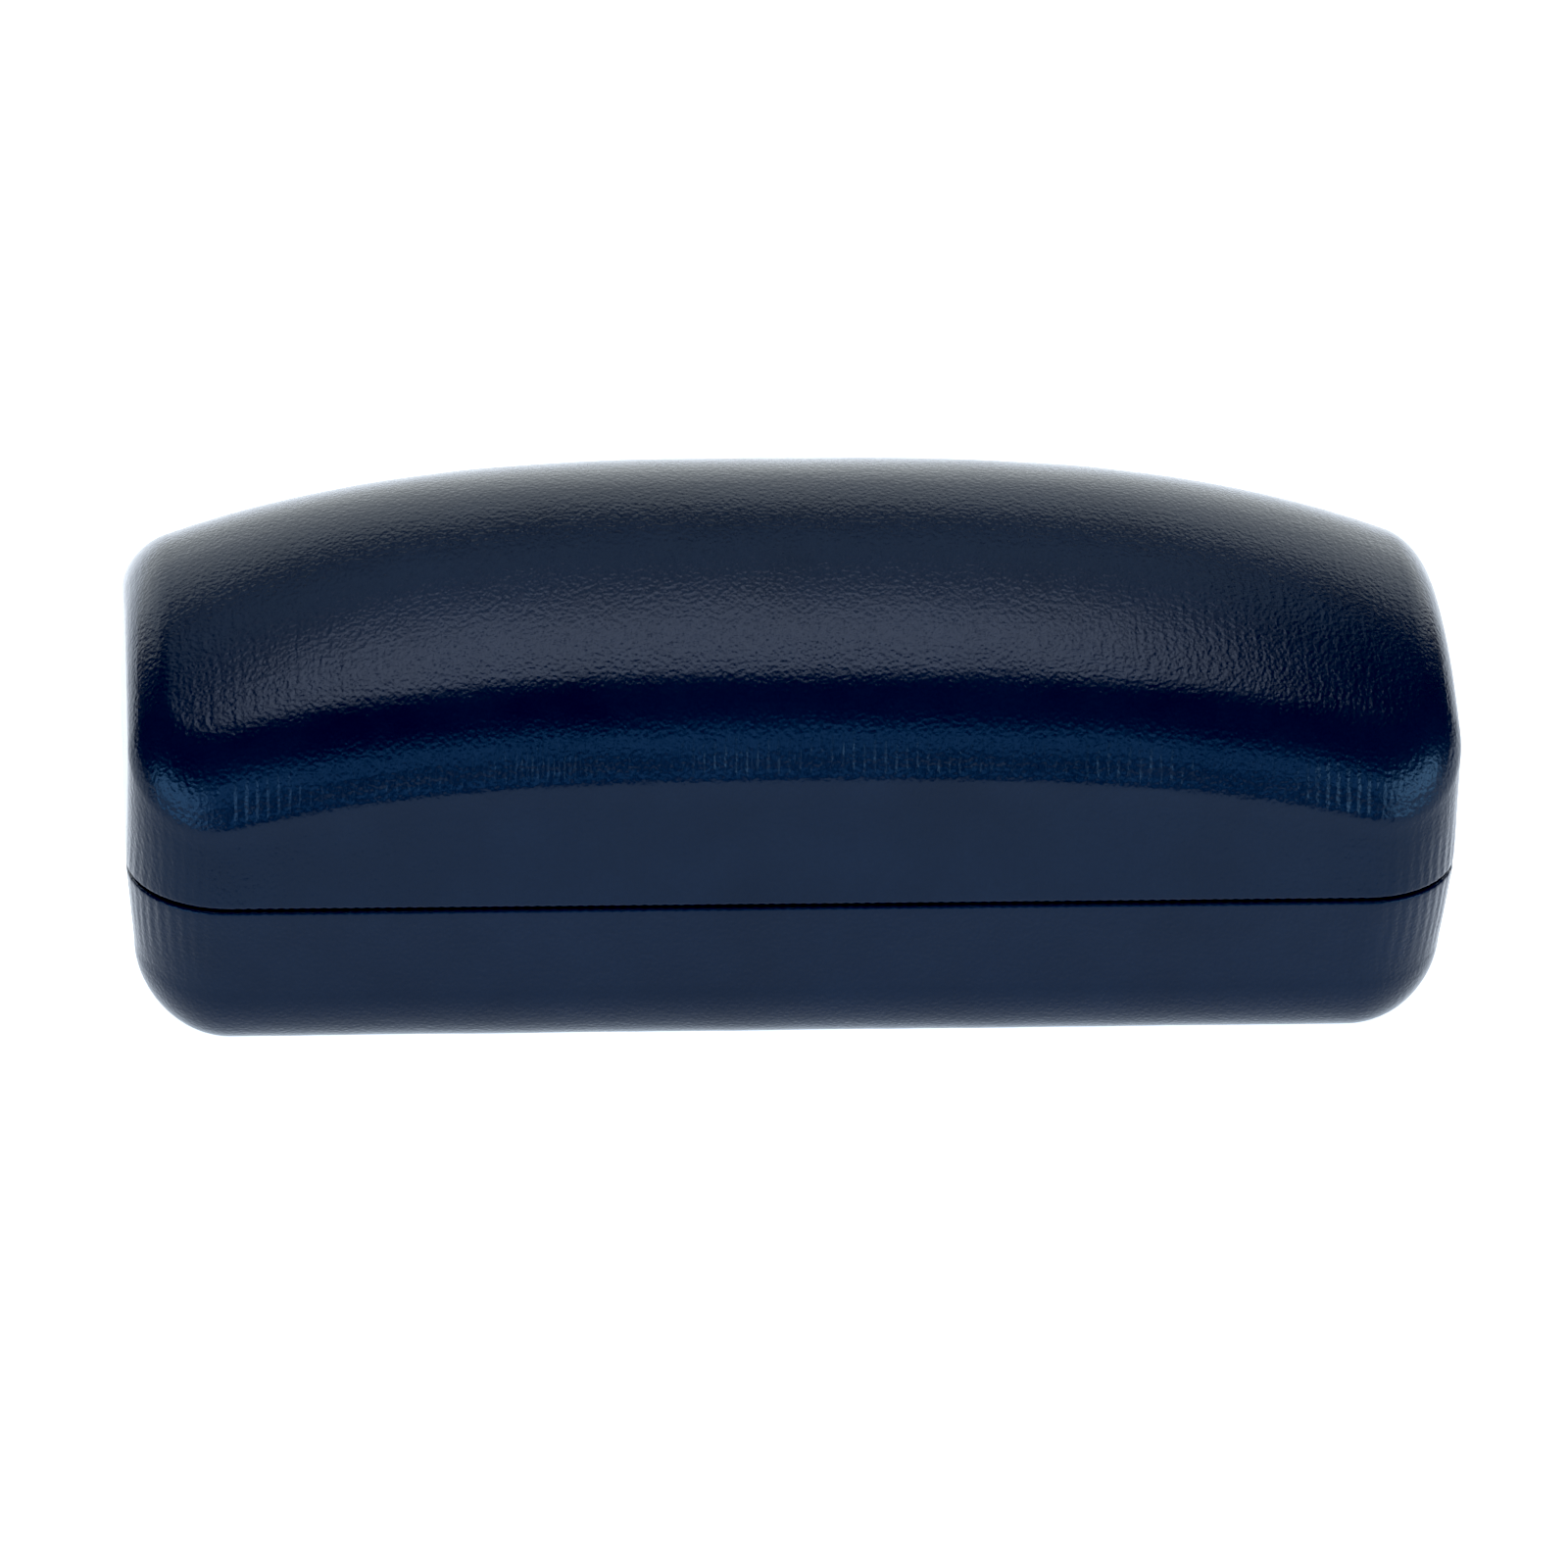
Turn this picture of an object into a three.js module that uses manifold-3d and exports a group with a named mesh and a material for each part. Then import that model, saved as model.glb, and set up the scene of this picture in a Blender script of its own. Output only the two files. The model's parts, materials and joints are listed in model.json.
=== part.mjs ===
// Hard clamshell eyeglasses case: a lid and a base of pressed steel, each wrapped in leatherette and
// lined with velour, joined at the back by a riveted hinge with two over-centre springs.
// Millimetres, +Z up, length along X, front towards -Y, closed. The origin is on the resting plane,
// under the middle of the bounding box.
import * as THREE from "three";
import { mergeVertices } from "three/addons/utils/BufferGeometryUtils.js";
import Module from "manifold-3d";

// Plan of both halves at the parting plane, a rounded rectangle.
const HALF_LENGTH = 81;
const HALF_DEPTH = 31;
const CORNER_RADIUS = 12.5;
const SEAM = 0.4; // gap between the closed rims

// Lid, as heights above the parting plane.
const CROWN_HEIGHT = 39.6;
const BROW_HEIGHT = 21.3; // where the roof meets the front wall, before rounding
const CROWN_SHIFT = 0.15; // how far behind the middle the crown lies, as a share of the half depth
const FRONT_CURVE = 1.8; // power of the roof's curve from the crown to the brow
const BACK_FALL = 20; // fall from the crown, per squared share of the half depth
const END_DROP_CROWN = 12.3; // how far the crown line drops towards the ends
const END_DROP_BROW = 9.7;
const END_CURVE = 2.85; // power of that drop along the length
const LID_FILLET = { front: 7, end: 5.2, back: 8 };
const LID_DRAFT = { front: 1.2, end: 0.2, back: 0 };

// Base, as depths below the parting plane.
const BASE_DEPTH = 22.1;
const BASE_FILLET = { front: 10.2, end: 11.6, back: 10.2 };
const BASE_DRAFT = { front: 1.0, end: 1.0, back: 0 };

// Layers of the wall, each as its distance inside the outer surface.
const COVER_IN = 1.0;
const SHELL_OUT = 1.2;
const SHELL_IN = 1.6;
const FLAP_OUT = 2.0; // the leatherette turned in behind the shell
const FLAP_IN = 2.8;
const LINING_RIM_OUT = 3.0; // the lining lies on the turned-in flap near the rim
const LINING_OUT = 2.1;
const LINING_IN = 4.0;
const TURN = 1.0; // thickness of the leatherette over the rim
const SHELL_RIM = 1.2; // distance of the shell's edge below the rim
const FLAP_DEPTH = 6;
const LINING_RIM = 0.6;
const LINING_STEP = 7;

// Pads.
const PAD_GAP = 0.3;
const BASE_PAD = { halfLength: 70, halfDepth: 20.2, radius: 8.5, thickness: 4, edge: 0.9 };
const LID_PAD_THICKNESS = 3;

// Hinge, with its axis on the back wall's outer surface at the parting plane.
const BARREL_RADIUS = 1.5;
const BORE_RADIUS = 0.84;
const PIN_RADIUS = 0.75;
const PIN_HEAD = { radius: 1.2, length: 0.8 };
const HINGE_HALF = 38;
const KNUCKLES = 5;
const KNUCKLE_GAP = 0.3;
const LEAF = { near: 2.0, far: 2.6, start: 0.6, end: 8.6 };
const WEB = { near: 0.9, end: 1.3 };
const RIVET_PLACES = { left: -34, middle: 0, right: 34 };
const RIVET = { height: 4.6, shank: 1.0, hole: 1.3, head: 2.0, dome: 0.7, outer: 1.25, seat: 2.7 };
const SPRING_PLACES = { left: -19, right: 19 };
const SPRING = { width: 9, near: 2.8, far: 3.2, bow: 0.5, end: 6.8, thickness: 0.4, toe: 2.1 };
const SLOT_CLEARANCE = 0.3;
const NOTCH = { half: 40.4, depth: 2.0, inward: 3.4 };
const WINDOW = { half: 42, depth: 10, inward: 4.6, outward: 1.8 };
const BAND = { half: 45, near: 4.2, far: 5.0, below: 12, above: 11 };
const CUT_PAST = 1; // how far a cutting tool runs past the face it opens

// Fineness of the facets.
const LONG_STEPS = 8;
const SHORT_STEPS = 2;
const CORNER_STEPS = 4;
const FILLET_STEPS = 4;
const ROOF_SHARES = [0.4, 0.8]; // rings of the roof, from the crown to its rounded edge
const ROUND_STEPS = 16;

const QUARTER = Math.PI / 2;
const UP = 1;
const DOWN = -1;

const wasm = await Module();
wasm.setup();

const leatherette = new THREE.MeshStandardMaterial({ color: 0x14284e, roughness: 0.5, metalness: 0 });
const steel = new THREE.MeshStandardMaterial({ color: 0xb8bcc2, roughness: 0.35, metalness: 1 });
const springSteel = new THREE.MeshStandardMaterial({ color: 0x8c9199, roughness: 0.3, metalness: 1 });
const velour = new THREE.MeshStandardMaterial({ color: 0x2b2d33, roughness: 0.95, metalness: 0 });

// ---------------------------------------------------------------- solids

// Vertices merged by place, so that a closed surface is closed by its index too.
function weld(geometry) {
  const bare = geometry.clone();
  bare.deleteAttribute("normal");
  bare.deleteAttribute("uv");
  return mergeVertices(bare);
}

function toSolid(geometry) {
  const welded = weld(geometry);
  const vertProperties = new Float32Array(welded.attributes.position.array);
  const triVerts = new Uint32Array(welded.index.array);
  return new wasm.Manifold(new wasm.Mesh({ numProp: 3, vertProperties, triVerts }));
}

function toGeometry(solid) {
  const mesh = solid.getMesh();
  const geometry = new THREE.BufferGeometry();
  geometry.setAttribute("position", new THREE.BufferAttribute(mesh.vertProperties, 3));
  geometry.setIndex(new THREE.BufferAttribute(mesh.triVerts, 1));
  geometry.computeVertexNormals();
  return geometry;
}

function cut(geometry, tools) {
  return toGeometry(tools.reduce((solid, tool) => solid.subtract(toSolid(tool)), toSolid(geometry)));
}

function join(geometries) {
  return toGeometry(geometries.map(toSolid).reduce((whole, solid) => whole.add(solid)));
}

function part(name, geometry, material) {
  const mesh = new THREE.Mesh(geometry, material);
  mesh.name = name;
  return mesh;
}

function box(low, high) {
  const size = high.map((value, axis) => value - low[axis]);
  const middle = high.map((value, axis) => (value + low[axis]) / 2);
  return new THREE.BoxGeometry(...size).translate(...middle);
}

// A box at the back wall: half width along X, inward distances from the hinge axis, and heights.
function backBox(middleX, halfWidth, near, far, bottom, top) {
  return box([middleX - halfWidth, HALF_DEPTH - far, bottom], [middleX + halfWidth, HALF_DEPTH - near, top]);
}

// The same, on one side of the parting plane: heights run away from it, up or down.
function sideBox(side, middleX, halfWidth, near, far, start, end) {
  const [bottom, top] = side === UP ? [start, end] : [-end, -start];
  return backBox(middleX, halfWidth, near, far, bottom, top);
}

// A closed surface: a fan from a point, the rings one after another, and a fan to a last point. The rings
// up to the turn face one way and the rest face back, and both are split along the same diagonals, so that
// layers at a constant distance stay clear of each other.
function closedLoft(firstPoint, rings, lastPoint, turn) {
  const count = rings[0].length;
  const points = [firstPoint, ...rings.flat(), lastPoint];
  const last = points.length - 1;
  const faces = [];
  for (let i = 0; i < count; i++) {
    const next = (i + 1) % count;
    faces.push(0, 1 + next, 1 + i);
    for (let ring = 0; ring < rings.length - 1; ring++) {
      const here = 1 + ring * count;
      const above = here + count;
      if (ring < turn) {
        faces.push(here + i, here + next, above + next);
        faces.push(here + i, above + next, above + i);
      } else {
        faces.push(here + i, here + next, above + i);
        faces.push(here + next, above + next, above + i);
      }
    }
    const top = last - count;
    faces.push(top + i, top + next, last);
  }
  const geometry = new THREE.BufferGeometry();
  geometry.setAttribute("position", new THREE.Float32BufferAttribute(points.flat(), 3));
  geometry.setIndex(faces);
  geometry.computeVertexNormals();
  return geometry;
}

// ---------------------------------------------------------------- the case's outer surface

// Points round the plan, anticlockwise from the front left, each with its outward direction.
function planStations() {
  const stations = [];
  const straights = [HALF_LENGTH - CORNER_RADIUS, HALF_DEPTH - CORNER_RADIUS];
  const distances = [HALF_DEPTH, HALF_LENGTH];
  const steps = [LONG_STEPS, SHORT_STEPS];
  for (let side = 0; side < 4; side++) {
    const facing = (side - 1) * QUARTER;
    const half = straights[side % 2];
    const out = [Math.cos(facing), Math.sin(facing)];
    const along = [-out[1], out[0]];
    for (let i = 0; i < steps[side % 2]; i++) {
      const run = half * ((2 * i) / steps[side % 2] - 1);
      const distance = distances[side % 2];
      stations.push({
        x: out[0] * distance + along[0] * run,
        y: out[1] * distance + along[1] * run,
        nx: out[0],
        ny: out[1],
      });
    }
    const centre = [
      out[0] * (distances[side % 2] - CORNER_RADIUS) + along[0] * half,
      out[1] * (distances[side % 2] - CORNER_RADIUS) + along[1] * half,
    ];
    for (let i = 0; i < CORNER_STEPS; i++) {
      const angle = facing + (QUARTER * i) / CORNER_STEPS;
      const [nx, ny] = [Math.cos(angle), Math.sin(angle)];
      stations.push({ x: centre[0] + CORNER_RADIUS * nx, y: centre[1] + CORNER_RADIUS * ny, nx, ny });
    }
  }
  return stations;
}

const stations = planStations();
const filletAngles = Array.from({ length: FILLET_STEPS + 1 }, (_, i) => (QUARTER * i) / FILLET_STEPS);

// A value given for the front, the ends and the back, turned smoothly through the corners.
function around(station, values) {
  const side = station.ny < 0 ? values.front : values.back;
  return side * station.ny ** 2 + values.end * station.nx ** 2;
}

function inset(station, distance, z) {
  return [station.x - station.nx * distance, station.y - station.ny * distance, z];
}

// Height of the lid's roof above the parting plane, before its edges are rounded.
function roofHeight(x, y) {
  const along = Math.abs(x) / HALF_LENGTH;
  const across = y / HALF_DEPTH;
  const forward = Math.max(0, (CROWN_SHIFT - across) / (CROWN_SHIFT + 1));
  const backward = Math.max(0, across - CROWN_SHIFT);
  const middle =
    CROWN_HEIGHT - (CROWN_HEIGHT - BROW_HEIGHT) * forward ** FRONT_CURVE - BACK_FALL * backward ** 2;
  const drop = END_DROP_CROWN + (END_DROP_BROW - END_DROP_CROWN) * Math.min(1, forward);
  return middle - drop * along ** END_CURVE;
}

// Rings of the lid and the base, at a distance inside the outer surface.
function lidWall(height, inward) {
  return stations.map((s) => {
    const wall = roofHeight(s.x, s.y) - around(s, LID_FILLET);
    return inset(s, inward + (around(s, LID_DRAFT) * height) / wall, height);
  });
}

function lidFillet(angle, inward) {
  return stations.map((s) => {
    const radius = around(s, LID_FILLET);
    const run = around(s, LID_DRAFT) + radius * (1 - Math.cos(angle));
    const [x, y] = inset(s, run, 0);
    const height = roofHeight(x, y) - radius * (1 - Math.sin(angle)) - inward * Math.sin(angle);
    return inset(s, run + inward * Math.cos(angle), height);
  });
}

const crownY = CROWN_SHIFT * HALF_DEPTH;

function lidRoof(share, inward) {
  return lidFillet(QUARTER, 0).map(([edgeX, edgeY]) => {
    const x = edgeX * share;
    const y = crownY + (edgeY - crownY) * share;
    return [x, y, roofHeight(x, y) - inward];
  });
}

function lidCrown(inward) {
  return [0, crownY, CROWN_HEIGHT - inward];
}

function baseWall(depth, inward) {
  return stations.map((s) => {
    const wall = BASE_DEPTH - around(s, BASE_FILLET);
    return inset(s, inward + (around(s, BASE_DRAFT) * depth) / wall, -depth);
  });
}

function baseFillet(angle, inward) {
  return stations.map((s) => {
    const radius = around(s, BASE_FILLET);
    const run = around(s, BASE_DRAFT) + radius - (radius - inward) * Math.cos(angle);
    return inset(s, run, radius - BASE_DEPTH - (radius - inward) * Math.sin(angle));
  });
}

// One face of a half from its middle out to the foot of its wall.
function lidFace(inward) {
  const roof = ROOF_SHARES.map((share) => lidRoof(share, inward));
  return [...roof, ...[...filletAngles].reverse().map((angle) => lidFillet(angle, inward))];
}

function baseFace(inward) {
  return [...filletAngles].reverse().map((angle) => baseFillet(angle, inward));
}

// A half's skin between two faces, with the rings of its rim from the inner face to the outer one.
function lidSkin(innerFace, rimRings, outerFace) {
  const rings = [...lidFace(innerFace), ...rimRings, ...lidFace(outerFace).reverse()];
  const turn = ROOF_SHARES.length + FILLET_STEPS + 1;
  return closedLoft(lidCrown(innerFace), rings, lidCrown(outerFace), turn);
}

function baseSkin(innerFace, rimRings, outerFace) {
  const rings = [...baseFace(outerFace), ...[...rimRings].reverse(), ...baseFace(innerFace).reverse()];
  const middles = [outerFace, innerFace].map((inward) => [0, 0, inward - BASE_DEPTH]);
  return closedLoft(middles[0], rings, middles[1], FILLET_STEPS + 1);
}

// The rim of each layer: heights are measured from the rim's edge, away from the parting plane.
function coverRim(ring) {
  return [
    ring(TURN, COVER_IN),
    ring(TURN, FLAP_OUT),
    ring(FLAP_DEPTH, FLAP_OUT),
    ring(FLAP_DEPTH, FLAP_IN),
    ring(0, FLAP_IN),
    ring(0, 0),
  ];
}

function shellRim(ring) {
  return [ring(SHELL_RIM, SHELL_IN), ring(SHELL_RIM, SHELL_OUT)];
}

function liningRim(ring) {
  return [
    ring(LINING_RIM, LINING_IN),
    ring(LINING_RIM, LINING_RIM_OUT),
    ring(LINING_STEP, LINING_RIM_OUT),
    ring(LINING_STEP, LINING_OUT),
  ];
}

const HALVES = {
  lid: { side: UP, skin: lidSkin, ring: (height, inward) => lidWall(height + SEAM / 2, inward) },
  base: { side: DOWN, skin: baseSkin, ring: (depth, inward) => baseWall(depth + SEAM / 2, inward) },
};

// ---------------------------------------------------------------- hinge

// A shape drawn with x as the distance inwards from the hinge axis and y as the height, run along X.
function extrudeAlongX(shape, length) {
  const options = { depth: length, bevelEnabled: false, curveSegments: ROUND_STEPS / 2 };
  const turn = new THREE.Matrix4().set(0, 0, -1, 0, -1, 0, 0, 0, 0, 1, 0, 0, 0, 0, 0, 1);
  return new THREE.ExtrudeGeometry(shape, options).translate(0, 0, -length / 2).applyMatrix4(turn);
}

function knuckle(middleX, length) {
  const ring = new THREE.Shape().absarc(0, 0, BARREL_RADIUS, 0, 2 * Math.PI);
  ring.holes.push(new THREE.Path().absarc(0, 0, BORE_RADIUS, 0, 2 * Math.PI));
  return extrudeAlongX(ring, length).translate(middleX, HALF_DEPTH, 0);
}

// A cylinder through the back wall at a rivet.
function rivetHole(side, x) {
  const length = 2 * LEAF.far;
  return new THREE.CylinderGeometry(RIVET.hole, RIVET.hole, length, ROUND_STEPS)
    .translate(x, HALF_DEPTH - LEAF.near, side * RIVET.height);
}

function rivetHoles(side) {
  return Object.values(RIVET_PLACES).map((x) => rivetHole(side, x));
}

function springSlots(side) {
  const half = SPRING.width / 2 + SLOT_CLEARANCE;
  const start = SPRING.end - SPRING.thickness - SLOT_CLEARANCE;
  const end = SPRING.end + SLOT_CLEARANCE;
  const far = LEAF.far + CUT_PAST;
  return Object.values(SPRING_PLACES).map((x) => sideBox(side, x, half, 0, far, start, end));
}

// A stamped leaf with every other knuckle rolled on it, starting with the first or the second.
function hingeLeaf(side, firstKnuckle) {
  const pitch = (2 * HINGE_HALF + KNUCKLE_GAP) / KNUCKLES;
  const length = pitch - KNUCKLE_GAP;
  const pieces = [sideBox(side, 0, HINGE_HALF, LEAF.near, LEAF.far, LEAF.start, LEAF.end)];
  for (let k = firstKnuckle; k < KNUCKLES; k += 2) {
    const x = -HINGE_HALF + length / 2 + k * pitch;
    pieces.push(knuckle(x, length));
    pieces.push(sideBox(side, x, length / 2, WEB.near, LEAF.far, LEAF.start, WEB.end));
  }
  return cut(join(pieces), [...rivetHoles(side), ...springSlots(side)]);
}

function hingePin() {
  const end = HINGE_HALF + KNUCKLE_GAP;
  const tip = end + PIN_HEAD.length;
  const profile = [
    [0, -tip], [PIN_HEAD.radius, -tip], [PIN_HEAD.radius, -end], [PIN_RADIUS, -end],
    [PIN_RADIUS, end], [PIN_HEAD.radius, end], [PIN_HEAD.radius, tip], [0, tip],
  ].map(([radius, along]) => new THREE.Vector2(radius, along));
  const mesh = part("hinge_pin", new THREE.LatheGeometry(profile, ROUND_STEPS), steel);
  mesh.rotation.z = QUARTER;
  mesh.position.y = HALF_DEPTH;
  return mesh;
}

// A rivet with its flush end in the shell and its domed head on the leaf.
function rivet(name, side, x) {
  const top = RIVET.seat + RIVET.dome;
  const shoulder = RIVET.seat + RIVET.dome / 2;
  const profile = [
    [0, RIVET.outer], [RIVET.shank, RIVET.outer], [RIVET.shank, RIVET.seat],
    [RIVET.head, RIVET.seat], [RIVET.head, shoulder], [RIVET.head / 2, top], [0, top],
  ].map(([radius, inward]) => new THREE.Vector2(radius, inward));
  const mesh = part(name, new THREE.LatheGeometry(profile, ROUND_STEPS), steel);
  mesh.rotation.z = Math.PI;
  mesh.position.set(x, HALF_DEPTH, side * RIVET.height);
  return mesh;
}

// A bowed flat spring across the hinge, its two toes turned out through the leaves' slots.
function snapSpring(name, x) {
  const { near, far, bow, end, thickness, toe } = SPRING;
  const outline = new THREE.Shape()
    .moveTo(toe, -end)
    .lineTo(far, -end)
    .quadraticCurveTo(far + 2 * bow, 0, far, end)
    .lineTo(toe, end)
    .lineTo(toe, end - thickness)
    .lineTo(near, end - thickness)
    .quadraticCurveTo(near + 2 * bow, 0, near, thickness - end)
    .lineTo(toe, thickness - end);
  outline.closePath();
  const mesh = part(name, extrudeAlongX(outline, SPRING.width), springSteel);
  mesh.position.set(x, HALF_DEPTH, 0);
  return mesh;
}

function hingeBand() {
  const strip = backBox(0, BAND.half, BAND.near, BAND.far, -BAND.below, BAND.above);
  return part("hinge_band", strip, velour);
}

// ---------------------------------------------------------------- layers of each half

// What the hinge takes out of a half: the notch for the barrel, room for the leaf, and the lining's window.
function barrelNotch(side) {
  return sideBox(side, 0, NOTCH.half, -BARREL_RADIUS, NOTCH.inward, -CUT_PAST, NOTCH.depth);
}

function flapRelief(side) {
  return sideBox(side, 0, NOTCH.half, WINDOW.outward, NOTCH.inward, -CUT_PAST, WINDOW.depth);
}

function liningWindow(side) {
  return sideBox(side, 0, WINDOW.half, WINDOW.outward, WINDOW.inward, -CUT_PAST, WINDOW.depth);
}

function cover(name, half) {
  const skin = half.skin(COVER_IN, coverRim(half.ring), 0);
  return part(name, cut(skin, [barrelNotch(half.side), flapRelief(half.side)]), leatherette);
}

function shell(name, half) {
  const skin = half.skin(SHELL_IN, shellRim(half.ring), SHELL_OUT);
  return part(name, cut(skin, [barrelNotch(half.side), ...rivetHoles(half.side)]), steel);
}

function lining(name, half) {
  const skin = half.skin(LINING_IN, liningRim(half.ring), LINING_OUT);
  return part(name, cut(skin, [liningWindow(half.side)]), velour);
}

function baseCushion() {
  const { halfLength, halfDepth, radius, thickness, edge } = BASE_PAD;
  const [x, y] = [halfLength - edge - radius, halfDepth - edge - radius];
  const outline = new THREE.Shape()
    .absarc(x, y, radius, 0, QUARTER)
    .absarc(-x, y, radius, QUARTER, 2 * QUARTER)
    .absarc(-x, -y, radius, 2 * QUARTER, 3 * QUARTER)
    .absarc(x, -y, radius, 3 * QUARTER, 4 * QUARTER);
  const geometry = new THREE.ExtrudeGeometry(outline, {
    depth: thickness - 2 * edge,
    bevelThickness: edge,
    bevelSize: edge,
    bevelSegments: 2,
    curveSegments: CORNER_STEPS / 2,
  });
  const mesh = part("base_cushion", geometry, velour);
  mesh.position.z = LINING_IN + PAD_GAP + edge - BASE_DEPTH;
  return mesh;
}

// A pad under the crown that follows the roof out to its outermost ring.
function lidCushion() {
  const top = LINING_IN + PAD_GAP;
  const bottom = top + LID_PAD_THICKNESS;
  const underside = ROOF_SHARES.map((share) => lidRoof(share, bottom));
  const upside = ROOF_SHARES.map((share) => lidRoof(share, top)).reverse();
  const rings = [...underside, ...upside];
  const geometry = closedLoft(lidCrown(bottom), rings, lidCrown(top), ROOF_SHARES.length);
  return part("lid_cushion", geometry, velour);
}

function halfOfCase(name, half, cushion, firstKnuckle) {
  const group = new THREE.Group();
  group.add(
    cover(`${name}_cover`, half),
    shell(`${name}_shell`, half),
    lining(`${name}_lining`, half),
    cushion,
    part(`hinge_${name}_leaf`, hingeLeaf(half.side, firstKnuckle), steel),
  );
  for (const [place, x] of Object.entries(RIVET_PLACES)) {
    group.add(rivet(`${name}_rivet_${place}`, half.side, x));
  }
  return group;
}

// ---------------------------------------------------------------- the case

const assembly = new THREE.Group();
assembly.position.set(0, -BARREL_RADIUS / 2, BASE_DEPTH);
assembly.add(halfOfCase("base", HALVES.base, baseCushion(), 0));
assembly.add(halfOfCase("lid", HALVES.lid, lidCushion(), 1));
assembly.add(hingePin(), hingeBand());
for (const [place, x] of Object.entries(SPRING_PLACES)) {
  assembly.add(snapSpring(`snap_spring_${place}`, x));
}

const eyeglassesCase = new THREE.Group();
eyeglassesCase.add(assembly);

export default eyeglassesCase;
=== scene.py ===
import json
import math

import bpy
import numpy as np
from mathutils import Matrix, Vector, noise


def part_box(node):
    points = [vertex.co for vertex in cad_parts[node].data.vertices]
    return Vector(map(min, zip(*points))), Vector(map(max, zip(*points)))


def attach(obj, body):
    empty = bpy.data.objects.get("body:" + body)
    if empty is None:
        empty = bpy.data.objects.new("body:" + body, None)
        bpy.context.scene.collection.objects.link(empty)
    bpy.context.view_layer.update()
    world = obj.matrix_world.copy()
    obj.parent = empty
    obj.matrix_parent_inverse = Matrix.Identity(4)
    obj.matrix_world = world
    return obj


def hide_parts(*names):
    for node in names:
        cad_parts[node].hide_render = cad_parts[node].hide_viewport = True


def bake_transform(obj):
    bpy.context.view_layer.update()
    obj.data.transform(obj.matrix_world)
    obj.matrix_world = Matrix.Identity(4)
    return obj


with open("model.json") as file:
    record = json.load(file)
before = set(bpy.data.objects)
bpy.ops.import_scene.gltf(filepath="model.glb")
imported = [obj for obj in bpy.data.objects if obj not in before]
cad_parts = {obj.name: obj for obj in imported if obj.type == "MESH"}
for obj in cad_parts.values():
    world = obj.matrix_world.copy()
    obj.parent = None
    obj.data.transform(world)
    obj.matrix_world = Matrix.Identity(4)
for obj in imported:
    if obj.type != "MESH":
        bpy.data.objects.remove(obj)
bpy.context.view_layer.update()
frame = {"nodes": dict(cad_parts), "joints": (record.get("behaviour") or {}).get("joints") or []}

# Shapes are written in millimetres around the parting plane: x along the case, y from the middle of its
# depth, z up from the plane. Pieces stand in metres in the frame, from the hinge and the covers' box.
MM = 0.001
HINGE_JOINT = frame["joints"][0]
HINGE = Vector(HINGE_JOINT["pos_m"])
HALF_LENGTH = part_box("base_cover")[1].x / MM
HALF_DEPTH = 31.0
ORIGIN = np.array([0.0, HINGE.y - HALF_DEPTH * MM, HINGE.z])

# Outer surface of the two halves.
CORNER_RADIUS = 12.5
HALF_SEAM = 0.2
CROWN_HEIGHT = 39.6
BROW_HEIGHT = 21.3
CROWN_SHIFT = 0.15
FRONT_CURVE = 1.8
BACK_FALL = 20.0
END_DROP_CROWN = 12.3
END_DROP_BROW = 9.7
END_CURVE = 2.85
LID_FILLET = (7.0, 5.2, 8.0)  # front, ends, back
LID_DRAFT = (1.2, 0.2, 0.0)
BASE_DEPTH = HINGE.z / MM
BASE_FILLET = (10.2, 11.6, 10.2)
BASE_DRAFT = (1.0, 1.0, 0.0)
CROWN_Y = CROWN_SHIFT * HALF_DEPTH

# Layers, as distances inside the outer surface.
COVER_IN = 1.0
FLAP_OUT, FLAP_IN = 2.0, 2.8
FLAP_DEPTH = 6.0
TURN = 1.0
RIM_ROLL = 0.45
FLAP_ROLL = 0.35
NOTCH_FLAP_OUT, NOTCH_FLAP_IN = 1.7, 1.9
LINING_OUT, LINING_RIM_OUT, LINING_IN = 2.1, 3.0, 4.0
LINING_RIM = 0.6
LINING_STEP = 7.0
NOTCH = {"half": 40.2, "lift": 1.55}  # the barrel's slot in the covers
WINDOW = {"half": 42.0, "lift": 9.4}  # the hinge's window in the linings

QUARTER = math.pi / 2
LEFT_RIGHT = (-1, 1)


# ---------------------------------------------------------------- mesh helpers

def to_frame(points):
    return np.asarray(points, float) * MM + ORIGIN


def volume_of(points, triangles):
    a, b, c = (points[triangles[:, i]] for i in range(3))
    return float((a * np.cross(b, c)).sum() / 6)


def mesh_object(name, points, faces, material):
    """A smooth-shaded object from millimetre points, with its faces turned outwards."""
    places = to_frame(points)
    centred = places - places.mean(0)
    fans = [(f[0], f[i], f[i + 1]) for f in faces for i in range(1, len(f) - 1)]
    if volume_of(centred, np.array(fans)) < 0:
        faces = [tuple(reversed(f)) for f in faces]
    mesh = bpy.data.meshes.new(name)
    mesh.from_pydata(places.tolist(), [], [tuple(map(int, f)) for f in faces])
    mesh.validate()
    mesh.polygons.foreach_set("use_smooth", [True] * len(mesh.polygons))
    mesh.materials.append(material)
    made = bpy.data.objects.new(name, mesh)
    bpy.context.scene.collection.objects.link(made)
    return made


def joined(parts):
    """One list of points and one of faces from several."""
    points, faces = [], []
    for part_points, part_faces in parts:
        start = sum(len(p) for p in points)
        points.append(np.asarray(part_points, float))
        faces += [tuple(i + start for i in face) for face in part_faces]
    return np.concatenate(points), faces


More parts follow.
